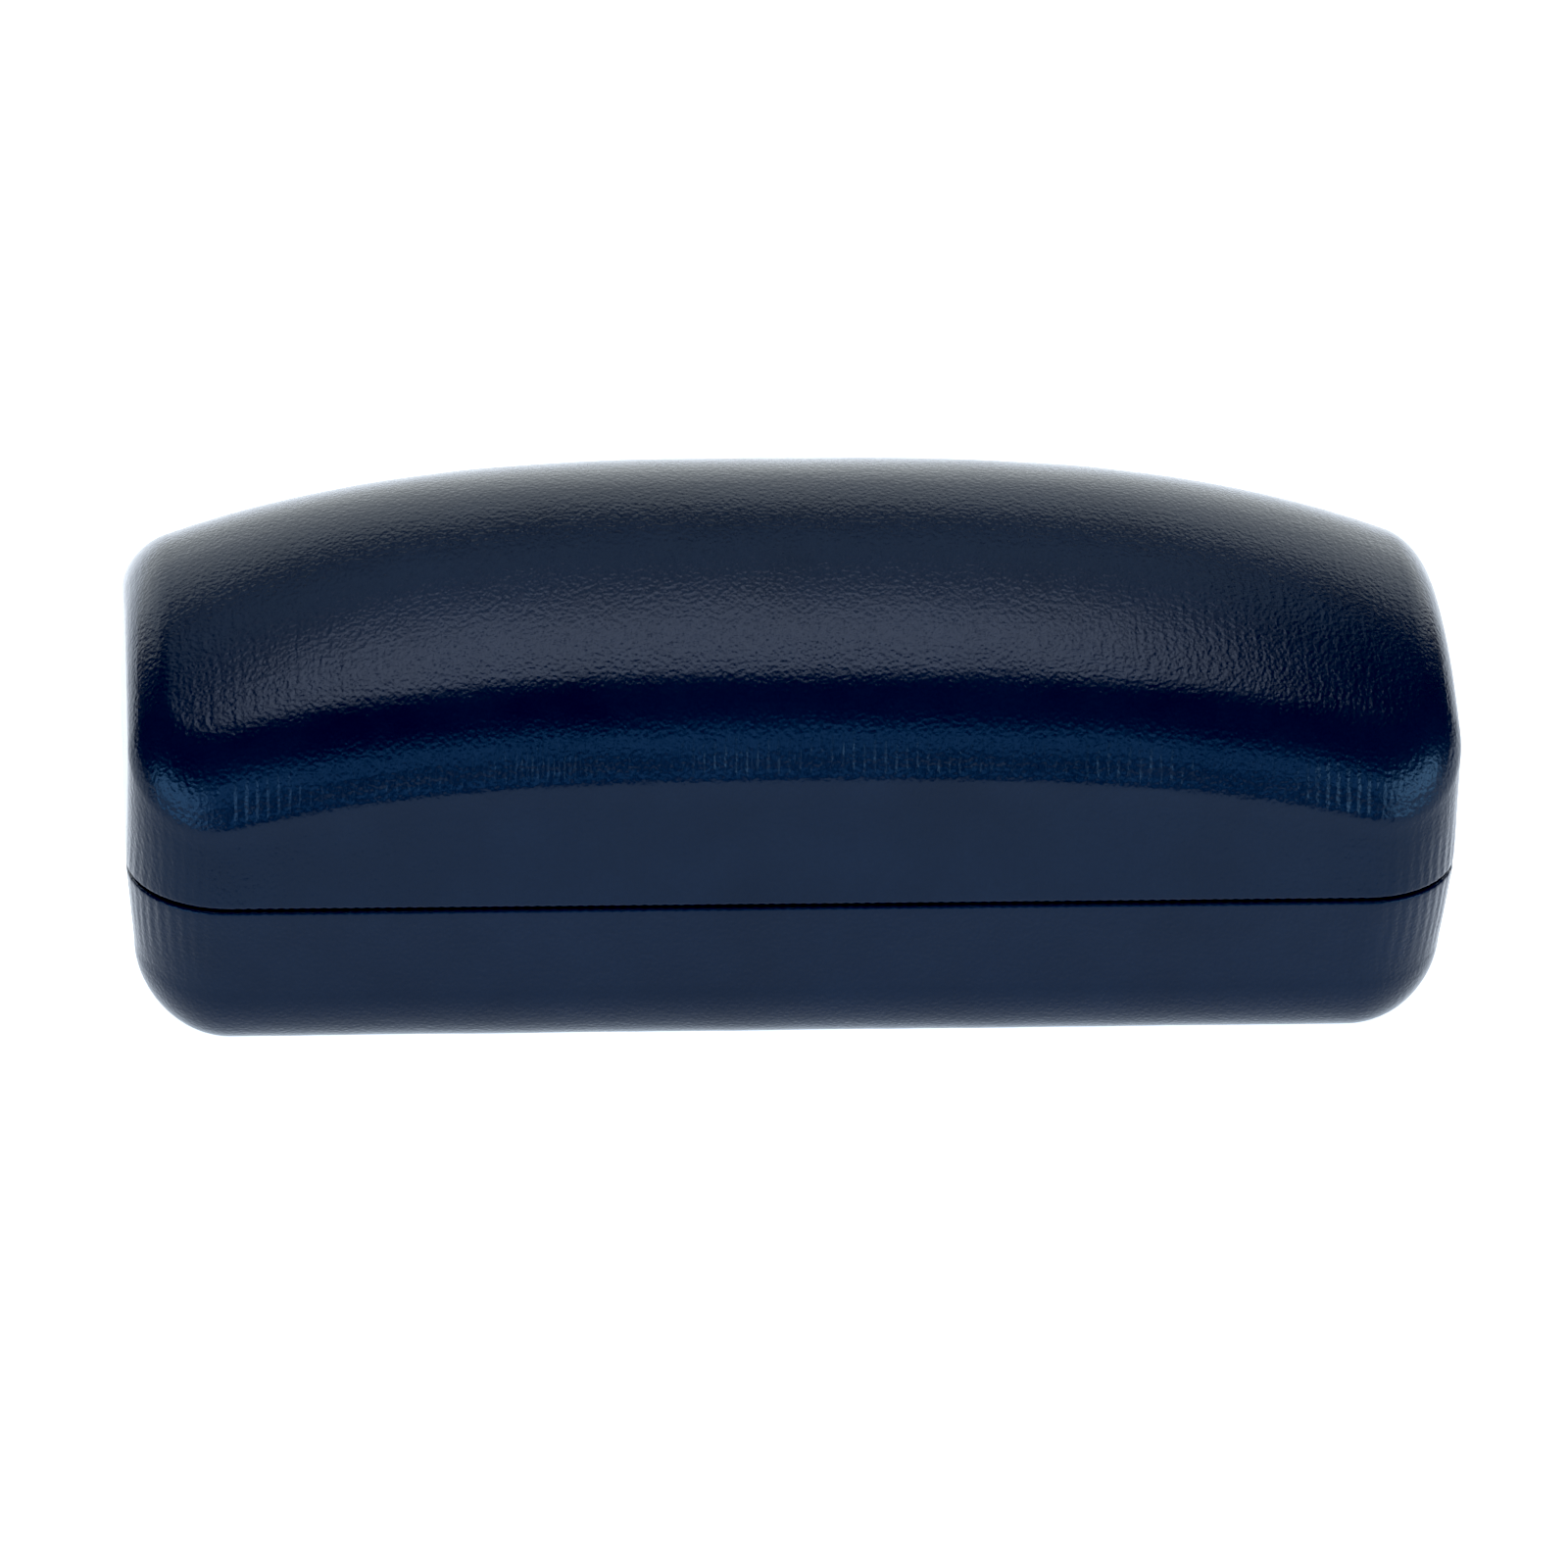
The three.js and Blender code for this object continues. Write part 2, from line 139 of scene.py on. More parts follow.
def loft(rings, first=None, last=None):
    """Quads between closed rings of equal length, and fans to a first and a last point."""
    count = len(rings[0])
    points = np.concatenate(rings)
    around = np.arange(count)
    after = (around + 1) % count
    faces = []
    for ring in range(len(rings) - 1):
        here, above = ring * count, (ring + 1) * count
        faces += zip(here + around, here + after, above + after, above + around)
    if first is not None:
        points = np.concatenate([points, [first]])
        faces += zip(after, around, np.full(count, len(points) - 1))
    if last is not None:
        points = np.concatenate([points, [last]])
        top = (len(rings) - 1) * count
        faces += zip(top + around, top + after, np.full(count, len(points) - 1))
    return points, [tuple(int(i) for i in face) for face in faces]


def vertex_normals(mesh):
    values = np.zeros(len(mesh.vertices) * 3, np.float32)
    mesh.vertex_normals.foreach_get("vector", values)
    return values.reshape(-1, 3)


def vertex_places(mesh):
    values = np.zeros(len(mesh.vertices) * 3, np.float32)
    mesh.vertices.foreach_get("co", values)
    return values.reshape(-1, 3).astype(float)


def set_places(mesh, places):
    mesh.vertices.foreach_set("co", places.astype(np.float32).ravel())
    mesh.update()


def noise_at(places_mm, wavelength, seed):
    """Smooth noise from -1 to 1 at millimetre places."""
    offset = Vector((17.3 * seed, -9.1 * seed, 5.7 * seed))
    return np.array([noise.noise(Vector(p / wavelength) + offset) for p in places_mm])


def smooth_step(value, low, high):
    share = np.clip((value - low) / (high - low), 0, 1)
    return share * share * (3 - 2 * share)


# ---------------------------------------------------------------- outer surface

class Plan:
    """Points round the plan at the parting plane, anticlockwise, each with its outward direction."""

    def __init__(self, step, corner_steps, extra=(), front_step=None):
        xs, ys, nxs, nys, runs = [], [], [], [], []
        run = 0.0
        half_long, half_short = HALF_LENGTH - CORNER_RADIUS, HALF_DEPTH - CORNER_RADIUS
        for side in range(4):
            facing = (side - 1) * QUARTER
            out = (math.cos(facing), math.sin(facing))
            along = (-out[1], out[0])
            long_side = side % 2 == 0
            half = half_long if long_side else half_short
            distance = HALF_DEPTH if long_side else HALF_LENGTH
            spacing = front_step if side == 0 and front_step else step
            marks = set(np.linspace(-half, half, int(round(2 * half / spacing)) + 1)[:-1])
            if side == 2:
                marks |= {sign * e for e in extra for sign in LEFT_RIGHT}
            for t in sorted(marks):
                xs.append(out[0] * distance + along[0] * t)
                ys.append(out[1] * distance + along[1] * t)
                nxs.append(out[0])
                nys.append(out[1])
                runs.append(run + t + half)
            run += 2 * half
            centre = [out[i] * (distance - CORNER_RADIUS) + along[i] * half for i in (0, 1)]
            for k in range(corner_steps):
                turn = QUARTER * k / corner_steps
                nx, ny = math.cos(facing + turn), math.sin(facing + turn)
                xs.append(centre[0] + CORNER_RADIUS * nx)
                ys.append(centre[1] + CORNER_RADIUS * ny)
                nxs.append(nx)
                nys.append(ny)
                runs.append(run + CORNER_RADIUS * turn)
            run += CORNER_RADIUS * QUARTER
        self.x, self.y, self.nx, self.ny = map(np.array, (xs, ys, nxs, nys))
        self.run = np.array(runs)
        self.corner = np.abs(2 * self.nx * self.ny)
        self.back = self.ny > 0.999
        self.front = self.ny < -0.999

    def around(self, values):
        """A value for the front, the ends and the back, turned smoothly through the corners."""
        side = np.where(self.ny < 0, values[0], values[2])
        return side * self.ny**2 + values[1] * self.nx**2

    def inset(self, distance, z):
        x, y = self.x - self.nx * distance, self.y - self.ny * distance
        return np.stack([x, y, np.broadcast_to(z, x.shape)], 1)

    def slot(self, shape):
        """1 within a slot in the back wall, 0 outside it, with a short ramp."""
        return np.where(self.back, 1 - smooth_step(np.abs(self.x), shape["half"] - 0.5, shape["half"]), 0)


def roof_height(x, y):
    """Height of the lid's roof above the parting plane, before its edges are rounded."""
    along, across = np.abs(x) / HALF_LENGTH, y / HALF_DEPTH
    forward = np.maximum(0, (CROWN_SHIFT - across) / (CROWN_SHIFT + 1))
    backward = np.maximum(0, across - CROWN_SHIFT)
    middle = CROWN_HEIGHT - (CROWN_HEIGHT - BROW_HEIGHT) * forward**FRONT_CURVE - BACK_FALL * backward**2
    drop = END_DROP_CROWN + (END_DROP_BROW - END_DROP_CROWN) * np.minimum(1, forward)
    return middle - drop * along**END_CURVE


class Lid:
    """The lid's surface at a distance inside its outer face."""
    sign = 1

    def __init__(self, plan):
        self.plan = plan
        self.radius = plan.around(LID_FILLET)
        self.draft = plan.around(LID_DRAFT)
        self.wall = roof_height(plan.x, plan.y) - self.radius

    def wall_ring(self, height, inward):
        """A ring on the wall, at a height from the parting plane."""
        return self.plan.inset(inward + self.draft * height / self.wall, height)

    def fillet_ring(self, angle, inward):
        run = self.draft + self.radius * (1 - math.cos(angle))
        edge = self.plan.inset(run, 0)
        height = roof_height(edge[:, 0], edge[:, 1]) - self.radius * (1 - math.sin(angle))
        ring = self.plan.inset(run + inward * math.cos(angle), 0)
        ring[:, 2] = height - inward * math.sin(angle)
        return ring

    def roof_ring(self, share, inward):
        edge = self.fillet_ring(QUARTER, 0)
        x, y = edge[:, 0] * share, CROWN_Y + (edge[:, 1] - CROWN_Y) * share
        return np.stack([x, y, roof_height(x, y) - inward], 1)

    def middle(self, inward):
        return np.array([0, CROWN_Y, CROWN_HEIGHT - inward])


class Base:
    """The base's surface at a distance inside its outer face."""
    sign = -1

    def __init__(self, plan):
        self.plan = plan
        self.radius = plan.around(BASE_FILLET)
        self.draft = plan.around(BASE_DRAFT)
        self.wall = BASE_DEPTH - self.radius

    def wall_ring(self, depth, inward):
        """A ring on the wall, at a depth from the parting plane."""
        return self.plan.inset(inward + self.draft * depth / self.wall, -depth)

    def fillet_ring(self, angle, inward):
        run = self.draft + self.radius - (self.radius - inward) * math.cos(angle)
        return self.plan.inset(run, self.radius - BASE_DEPTH - (self.radius - inward) * math.sin(angle))

    def roof_ring(self, share, inward):
        edge = self.fillet_ring(QUARTER, inward)
        return np.stack([edge[:, 0] * share, edge[:, 1] * share, edge[:, 2]], 1)

    def middle(self, inward):
        return np.array([0, 0, inward - BASE_DEPTH])


def face_rings(half, inward, start, wall_steps, angles, roof_steps):
    """Rings of one face, from a height near the rim to the middle."""
    shares = np.linspace(0, 1, wall_steps + 1)
    rings = [half.wall_ring(start + (half.wall - start) * share, inward) for share in shares]
    rings += [half.fillet_ring(angle, inward) for angle in angles]
    rings += [half.roof_ring(1 - k / roof_steps, inward) for k in range(1, roof_steps)]
    return rings


def fillet_angles(steps):
    return [QUARTER * k / steps for k in range(1, steps + 1)]


def roll(centre, radius, start, turn, steps):
    """Points (inward, height) on a rounded edge."""
    angles = [start + turn * k / steps for k in range(steps + 1)]
    return [(centre[0] + radius * math.cos(a), centre[1] + radius * math.sin(a)) for a in angles]


def sheet_coordinates(half, rings, edge_ring):
    """Where each point of a face lies on the flat cloth it is cut from, in millimetres."""
    edge = rings[edge_ring]
    flat = [None] * len(rings)
    for k in range(edge_ring, len(rings)):
        flat[k] = rings[k][:, :2]
    length = np.zeros(len(edge))
    for k in range(edge_ring - 1, -1, -1):
        length = length + np.linalg.norm(rings[k] - rings[k + 1], axis=1)
        out = np.stack([half.plan.nx, half.plan.ny], 1)
        flat[k] = edge[:, :2] + out * length[:, None]
    return flat


def add_attribute(mesh, name, values):
    attribute = mesh.attributes.new(name, "FLOAT_VECTOR", "POINT")
    padded = np.zeros((len(mesh.vertices), 3), np.float32)
    padded[: len(values), : values.shape[1]] = values
    attribute.data.foreach_set("vector", padded.ravel())


# ---------------------------------------------------------------- materials

class Nodes:
    """Short names for building a node tree."""

    def __init__(self, name):
        self.material = bpy.data.materials.new(name)
        self.material.use_nodes = True
        self.tree = self.material.node_tree
        self.shader = self.tree.nodes["Principled BSDF"]

    def add(self, kind, inputs=None, **settings):
        node = self.tree.nodes.new(kind)
        for key, value in settings.items():
            setattr(node, key, value)
        for key, value in (inputs or {}).items():
            self.put(node.inputs[key], value)
        return node

    def put(self, socket, value):
        if isinstance(value, bpy.types.NodeSocket):
            self.tree.links.new(value, socket)
        else:
            socket.default_value = value

    def math(self, operation, *values):
        node = self.add("ShaderNodeMath", operation=operation)
        for socket, value in zip(node.inputs, values):
            self.put(socket, value)
        return node.outputs[0]

    def mix(self, factor, first, second):
        node = self.add("ShaderNodeMix", data_type="RGBA")
        self.put(node.inputs["Factor"], factor)
        self.put(node.inputs["A"], first)
        self.put(node.inputs["B"], second)
        return node.outputs["Result"]

    def noise(self, vector, scale, detail=3.0, roughness=0.5):
        inputs = {"Vector": vector, "Scale": scale, "Detail": detail, "Roughness": roughness}
        return self.add("ShaderNodeTexNoise", inputs).outputs["Fac"]

    def cells(self, vector, scale, smoothness=1.0):
        inputs = {"Vector": vector, "Scale": scale, "Smoothness": smoothness}
        return self.add("ShaderNodeTexVoronoi", inputs, feature="SMOOTH_F1").outputs["Distance"]

    def ramp(self, value, low, high):
        inputs = {"Value": value, "From Min": low, "From Max": high}
        return self.add("ShaderNodeMapRange", inputs, clamp=True).outputs[0]

    def place(self):
        return self.add("ShaderNodeTexCoord").outputs["Object"]

    def stretched(self, vector, scale):
        return self.add("ShaderNodeMapping", {"Vector": vector, "Scale": scale}).outputs[0]

    def bump(self, height, distance, normal=None):
        inputs = {"Height": height, "Distance": distance, "Strength": 1.0}
        node = self.add("ShaderNodeBump", inputs)
        if normal is not None:
            self.put(node.inputs["Normal"], normal)
        return node.outputs[0]

    def finish(self, **sockets):
        for name, value in sockets.items():
            self.put(self.shader.inputs[name.replace("_", " ")], value)
        return self.material


# Bumps are in metres, scales in features per metre.
NAVY = (0.0020, 0.0058, 0.0180, 1.0)
NAVY_DEEP = (0.0014, 0.0042, 0.0140, 1.0)
NAVY_WORN = (0.0050, 0.0110, 0.0270, 1.0)
RIB_PITCH = 1.28
RIB_BUMP, GRAIN_BUMP = 0.000012, 0.00006
PEBBLES_PER_METRE, GRAIN_PER_METRE = 2000.0, 3200.0


def leatherette_material():
    n = Nodes("leatherette")
    place = n.place()
    sheet = n.add("ShaderNodeAttribute", attribute_name="sheet").outputs["Vector"]
    across = n.add("ShaderNodeSeparateXYZ", {"Vector": sheet}).outputs["X"]
    wander = n.math("MULTIPLY_ADD", n.noise(n.stretched(sheet, (0.35, 0.08, 1.0)), 1.0, 2.0), 1.2, -0.6)
    phase = n.math("ADD", n.math("MULTIPLY", across, 2 * math.pi / RIB_PITCH), wander)
    ribs = n.math("MULTIPLY_ADD", n.math("COSINE", phase), 0.5, 0.5)
    broken = n.ramp(n.noise(n.stretched(sheet, (0.9, 0.25, 1.0)), 1.0, 3.0), 0.35, 0.62)
    rib_height = n.math("MULTIPLY", ribs, broken)
    pebbles = n.cells(place, PEBBLES_PER_METRE)
    grain = n.noise(place, GRAIN_PER_METRE, 3.0, 0.6)
    relief = n.math("ADD", n.math("MULTIPLY", pebbles, 0.8), n.math("MULTIPLY", grain, 0.5))
    cloudy = n.noise(place, 45.0, 4.0)
    worn = n.ramp(n.noise(place, 120.0, 4.0, 0.6), 0.40, 0.74)
    colour = n.mix(n.ramp(cloudy, 0.35, 0.65), NAVY_DEEP, NAVY)
    colour = n.mix(n.math("MULTIPLY", worn, 0.35), colour, NAVY_WORN)
    colour = n.mix(n.math("MULTIPLY", n.ramp(pebbles, 0.25, 0.7), 0.35), colour, NAVY_DEEP)
    rough = n.math("ADD", 0.13, n.math("MULTIPLY", n.noise(place, 400.0, 4.0, 0.6), 0.05))
    rough = n.math("ADD", rough, n.math("MULTIPLY", cloudy, 0.04))
    normal = n.bump(rib_height, RIB_BUMP)
    normal = n.bump(relief, GRAIN_BUMP, normal)
    return n.finish(
        Base_Color=colour, Roughness=rough, Normal=normal, IOR=1.5,
        Specular_IOR_Level=0.2, Specular_Tint=(0.62, 0.80, 1.0, 1.0),
    )


def velour_material():
    n = Nodes("velour")
    place = n.place()
    pile = n.noise(place, 5200.0, 2.0, 0.7)
    nap = n.noise(place, 70.0, 4.0, 0.6)
    colour = n.mix(n.ramp(nap, 0.35, 0.68), (0.012, 0.013, 0.018, 1), (0.030, 0.032, 0.042, 1))
    colour = n.mix(n.math("MULTIPLY", pile, 0.5), colour, (0.008, 0.008, 0.012, 1))
    rough = n.math("ADD", 0.82, n.math("MULTIPLY", nap, 0.15))
    normal = n.bump(n.math("ADD", pile, n.math("MULTIPLY", nap, 0.6)), 0.00012)
    return n.finish(
        Base_Color=colour, Roughness=rough, Normal=normal, Specular_IOR_Level=0.2,
        Sheen_Weight=0.55, Sheen_Roughness=0.4, Sheen_Tint=(0.55, 0.6, 0.75, 1.0),
    )


def steel_material(name, dark, light, brush, base_roughness):
    """Brushed steel, its brush marks running along x."""
    n = Nodes(name)
    place = n.place()
    marks = n.noise(n.stretched(place, (60.0, brush, brush)), 1.0, 5.0, 0.7)
    stain = n.noise(place, 220.0, 4.0, 0.6)
    colour = n.mix(n.math("MULTIPLY_ADD", marks, 0.6, n.math("MULTIPLY", stain, 0.3)), dark, light)
    rough = n.math("MULTIPLY_ADD", marks, 0.22, base_roughness)
    normal = n.bump(marks, 0.000012)
    return n.finish(Base_Color=colour, Roughness=rough, Normal=normal, Metallic=1.0)


LEATHERETTE = leatherette_material()
VELOUR = velour_material()
SHELL_STEEL = steel_material("shell_steel", (0.30, 0.31, 0.33, 1), (0.52, 0.53, 0.55, 1), 2500.0, 0.30)
HINGE_STEEL = steel_material("hinge_steel", (0.42, 0.43, 0.45, 1), (0.70, 0.71, 0.73, 1), 3500.0, 0.20)
SPRING_STEEL = steel_material("spring_steel", (0.16, 0.17, 0.20, 1), (0.33, 0.35, 0.39, 1), 4200.0, 0.18)

# ---------------------------------------------------------------- leatherette covers

COVER_PLAN = Plan(
    1.0, 64, extra=(NOTCH["half"], NOTCH["half"] - 0.25, NOTCH["half"] - 0.5), front_step=RIB_PITCH / 5
)
WALL_STEPS, ROOF_STEPS = 14, 20
FINE_END = math.radians(32)  # the rings lie closer together from the wall up to here
COVER_ANGLES = [FINE_END * k / 20 for k in range(1, 21)]
COVER_ANGLES += [FINE_END + (QUARTER - FINE_END) * k / 13 for k in range(1, 14)]
# A crease runs along the lid's brow, where the padded top meets the flat front. Its depth follows the ribs.
CREASE = {
    "start": math.radians(6.5), "bottom": math.radians(21), "end": math.radians(62),
    "least": 0.15, "most": 0.34,
}
RIM_WAVE = 0.06
COVER_SOFTNESS = ((0.045, 9.0), (0.014, 3.2))  # depth and wavelength of the padded cloth's unevenness
GATHERS = {"pitch": 1.75, "from": 3.0, "to": 13.0}  # they fade out between these distances from the rim


def build_cover(name, half, seed, gathers, creased):
    """A cover with its outer face, rolled rim and turned-in flap. Gathers gives the depth of the folds
    in the left and the right corner; a creased cover has a puckered crease where its front turns over."""
    plan = half.plan
    slot = plan.slot(NOTCH)
    rim = HALF_SEAM + NOTCH["lift"] * slot
    flap_in = FLAP_IN + (NOTCH_FLAP_IN - FLAP_IN) * slot
    flap_out = FLAP_OUT + (NOTCH_FLAP_OUT - FLAP_OUT) * slot
    ribs = np.where(plan.front, np.cos(2 * math.pi * plan.x / RIB_PITCH), 0)
    outer = face_rings(half, 0.0, rim + RIM_ROLL, WALL_STEPS, COVER_ANGLES, ROOF_STEPS)
    inner = face_rings(half, COVER_IN, rim + TURN, 3, fillet_angles(6), 5)
    edge = roll((RIM_ROLL, RIM_ROLL), RIM_ROLL, 3 * QUARTER, -QUARTER, 5)[:-1]
    edge = [half.wall_ring(rim + height + RIM_WAVE * (1 - height / RIM_ROLL) * ribs, inward)
            for inward, height in edge]
    turned = roll((-FLAP_ROLL, FLAP_ROLL), FLAP_ROLL, 0, -QUARTER, 4)
    turned = [half.wall_ring(rim + height, flap_in + inward) for inward, height in turned]
    flap = [
        half.wall_ring(rim + TURN, flap_out),
        half.wall_ring(rim + FLAP_DEPTH, flap_out),
        half.wall_ring(rim + FLAP_DEPTH, flap_in),
    ]
    rings = inner[::-1] + flap + turned + edge + outer
    points, faces = loft(rings, half.middle(COVER_IN), half.middle(0.0))
    made = mesh_object(name, points, faces, LEATHERETTE)
    mesh = made.data

    # The flat cloth runs over the face, round the rim and in behind it.
    skin = turned + edge + outer
    first = len(inner) + len(flap)
    top = len(turned) + len(edge) + WALL_STEPS + len(COVER_ANGLES)
    flat = sheet_coordinates(half, skin, top)
    values = np.zeros((len(points), 2))
    count = len(plan.x)
    values[first * count : (first + len(skin)) * count] = np.concatenate(flat)
    values[: first * count] = points[: first * count, :2]
    add_attribute(mesh, "sheet", values)

    # Softness of the padded cloth, and the gathers at the corners.
    start = (first + len(turned)) * count
    normals = vertex_normals(mesh)
    places = vertex_places(mesh)
    local = (places - ORIGIN) / MM
    moving = np.arange(start, start + (len(edge) + len(outer)) * count)
    here = local[moving]
    soft = sum(size * noise_at(here, wavelength, seed + k)
               for k, (size, wavelength) in enumerate(COVER_SOFTNESS))
    station = (moving - start) % count
    level = np.abs(here[:, 2])
    depth = np.where(here[:, 0] > 0, gathers[1], gathers[0]) * smooth_step(plan.corner[station], 0.05, 0.55)
    fade = 1 - smooth_step(level, GATHERS["from"], GATHERS["to"])
    wander = 1.3 * noise_at(here, 7.0, seed + 2)
    folds = np.sin(2 * math.pi * plan.run[station] / GATHERS["pitch"] + 2.2 * wander)
    folds = folds * (0.6 + 0.4 * wander)
    near_rim = smooth_step(level, HALF_SEAM, HALF_SEAM + 2 * RIM_ROLL)
    offset = soft * near_rim + depth * fade * folds * (0.35 + 0.65 * near_rim)
    if creased:
        ring = (moving - start) // count - len(edge) - WALL_STEPS
        angle = np.array([0.0] + COVER_ANGLES)[np.clip(ring, 0, len(COVER_ANGLES))]
        into = smooth_step(angle, CREASE["start"], CREASE["bottom"])
        out_of = 1 - smooth_step(angle, CREASE["bottom"], CREASE["end"])
        on_front = np.where(plan.ny < 0, plan.ny**2, 0)[station]
        patchy = np.clip(0.55 + 0.9 * noise_at(here, 14.0, seed + 3), 0, 1)
        puckers = patchy * (0.5 - 0.5 * ribs[station]) * plan.front[station]
        depth = CREASE["least"] + (CREASE["most"] - CREASE["least"]) * puckers
        offset -= depth * into * out_of * on_front * (ring >= 0)
    places[moving] += normals[moving] * (offset * MM)[:, None]
    places[:, 2] = np.maximum(places[:, 2], 0.0)
    set_places(mesh, places)
    return made


lid_cover = build_cover("lid_leatherette", Lid(COVER_PLAN), 3, (0.05, 0.06), True)
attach(lid_cover, "lid")
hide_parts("lid_cover")

base_cover = build_cover("base_leatherette", Base(COVER_PLAN), 11, (0.05, 0.09), False)
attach(base_cover, "base")
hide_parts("base_cover")

# ---------------------------------------------------------------- velour linings

LINING_PLAN = Plan(2.0, 20, extra=(WINDOW["half"], WINDOW["half"] - 0.25, WINDOW["half"] - 0.5))


def build_lining(name, half, seed):
    plan = half.plan
    slot = plan.slot(WINDOW)
    rim = HALF_SEAM + LINING_RIM + WINDOW["lift"] * slot
    radius = (LINING_IN - LINING_RIM_OUT) / 2
    edge = roll((LINING_RIM_OUT + radius, radius), radius, 0, -2 * QUARTER, 8)
    edge = [half.wall_ring(rim + height, inward) for inward, height in edge]
    step = np.maximum(HALF_SEAM + LINING_STEP, rim + 2 * radius)
    inner = face_rings(half, LINING_IN, rim + 2 * radius, 12, fillet_angles(12), 16)
    outer = face_rings(half, LINING_OUT, step + 0.1, 4, fillet_angles(8), 8)
    back = [half.wall_ring(step, LINING_RIM_OUT)]
    rings = inner[::-1] + edge + back + outer
    points, faces = loft(rings, half.middle(LINING_IN), half.middle(LINING_OUT))
    made = mesh_object(name, points, faces, VELOUR)
    places = vertex_places(made.data)
    moving = np.arange(len(inner) * len(plan.x))
    local = (places[moving] - ORIGIN) / MM
    soft = 0.07 * noise_at(local, 11.0, seed) + 0.03 * noise_at(local, 4.0, seed + 1)
    places[moving] += vertex_normals(made.data)[moving] * (soft * MM)[:, None]
    set_places(made.data, places)
    return made


lid_lining = build_lining("lid_velour", Lid(LINING_PLAN), 21)
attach(lid_lining, "lid")
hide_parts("lid_lining")

base_lining = build_lining("base_velour", Base(LINING_PLAN), 27)
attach(base_lining, "base")
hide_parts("base_lining")

# ---------------------------------------------------------------- cushions

SIM_SCALE = 4.0  # the pads are simulated enlarged, where the solver's masses and forces suit them
SIM_VOXEL = 0.0048
SIM_FRAMES = 20
PAD_PRESSURE = 4.0
PAD_SWELL = 0.5
PAD_EDGE = 1.2  # radius of a pad's rounded edge
PAD_GAP = 0.1


def remeshed(made, voxel):
    modifier = made.modifiers.new("voxels", "REMESH")
    modifier.mode = "VOXEL"
    modifier.voxel_size = voxel
    modifier.use_smooth_shade = True
    apply_modifiers(made)


def apply_modifiers(made):
    bpy.context.view_layer.update()
    evaluated = made.evaluated_get(bpy.context.evaluated_depsgraph_get())
    mesh = bpy.data.meshes.new_from_object(evaluated)
    made.modifiers.clear()
    made.data = mesh


def inflate(made, held, pressure, cap):
    """Swells a pad under pressure. Held tells from the normals which points stay put, and cap is the
    furthest that a point may move, in millimetres."""
    mesh = made.data
    keep = held(vertex_normals(mesh))
    rest = vertex_places(mesh)
    set_places(mesh, rest * SIM_SCALE)
    group = made.vertex_groups.new(name="held")
    group.add([int(i) for i in np.nonzero(keep)[0]], 1.0, "REPLACE")
    cloth = made.modifiers.new("cloth", "CLOTH")
    settings = cloth.settings
    settings.quality = 6
    settings.mass = 0.15
    settings.tension_stiffness = settings.compression_stiffness = 8.0
    settings.shear_stiffness = 6.0
    settings.bending_stiffness = 0.6
    settings.use_pressure = True
    settings.uniform_pressure_force = pressure
    settings.vertex_group_mass = "held"
    settings.effector_weights.gravity = 0
    scene = bpy.context.scene
    for step in range(1, SIM_FRAMES + 1):
        scene.frame_set(step)
    evaluated = made.evaluated_get(bpy.context.evaluated_depsgraph_get())
    swollen = vertex_places(evaluated.data) / SIM_SCALE
    made.modifiers.clear()
    made.vertex_groups.clear()
    scene.frame_set(1)
    move = swollen - rest
    length = np.linalg.norm(move, axis=1)
    move *= np.minimum(1, cap * MM / np.maximum(length, 1e-9))[:, None]
    set_places(mesh, rest + move)


def subdivide(made):
    modifier = made.modifiers.new("fine", "SUBSURF")
    modifier.levels = modifier.render_levels = 1
    apply_modifiers(made)


def padded_out(made, held):
    set_places(made.data, vertex_places(made.data) * SIM_SCALE)
    remeshed(made, SIM_VOXEL)
    set_places(made.data, vertex_places(made.data) / SIM_SCALE)
    inflate(made, held, PAD_PRESSURE, PAD_SWELL)
    subdivide(made)
    return made


BASE_PAD = {"half_length": 70.0, "half_depth": 20.2, "radius": 8.5, "thickness": 4.0}
PAD_FLOOR = 4.3 - BASE_DEPTH
CROWN_ROOM = 0.55  # a pad starts this much thinner than its room, for the swelling


def rounded_rectangle(half_length, half_depth, radius, straight_steps, corner_steps):
    """Points and outward directions round a rounded rectangle."""
    points, directions = [], []
    for side in range(4):
        facing = (side - 1) * QUARTER
        out = np.array([math.cos(facing), math.sin(facing)])
        along = np.array([-out[1], out[0]])
        distance, half = (half_depth, half_length) if side % 2 == 0 else (half_length, half_depth)
        steps = straight_steps[side % 2]
        for k in range(steps):
            points.append(out * distance + along * (half - radius) * (2 * k / steps - 1))
            directions.append(out)
        centre = out * (distance - radius) + along * (half - radius)
        for k in range(corner_steps):
            turned = facing + QUARTER * k / corner_steps
            direction = np.array([math.cos(turned), math.sin(turned)])
            points.append(centre + radius * direction)
            directions.append(direction)
    return np.array(points), np.array(directions)


def base_pad():
    edge = PAD_EDGE
    outline, out = rounded_rectangle(
        BASE_PAD["half_length"] - 0.3, BASE_PAD["half_depth"] - 0.3, BASE_PAD["radius"], (60, 16), 12
    )
    floor = PAD_FLOOR + PAD_GAP
    top = PAD_FLOOR + BASE_PAD["thickness"] - CROWN_ROOM

    def ring(inward, z):
        flat = outline - out * inward
        return np.column_stack([flat, np.full(len(flat), z)])

    under = [ring(edge * (1 - math.sin(a)), floor + edge * (1 - math.cos(a)))
             for a in np.linspace(0, QUARTER, 5)]
    over = [ring(edge * (1 - math.cos(a)), top - edge * (1 - math.sin(a)))
            for a in np.linspace(0, QUARTER, 5)]
    points, faces = loft(under + over, [0, 0, floor], [0, 0, top])
    made = mesh_object("base_pad", points, faces, VELOUR)
    return padded_out(made, lambda normals: normals[:, 2] < -0.5)


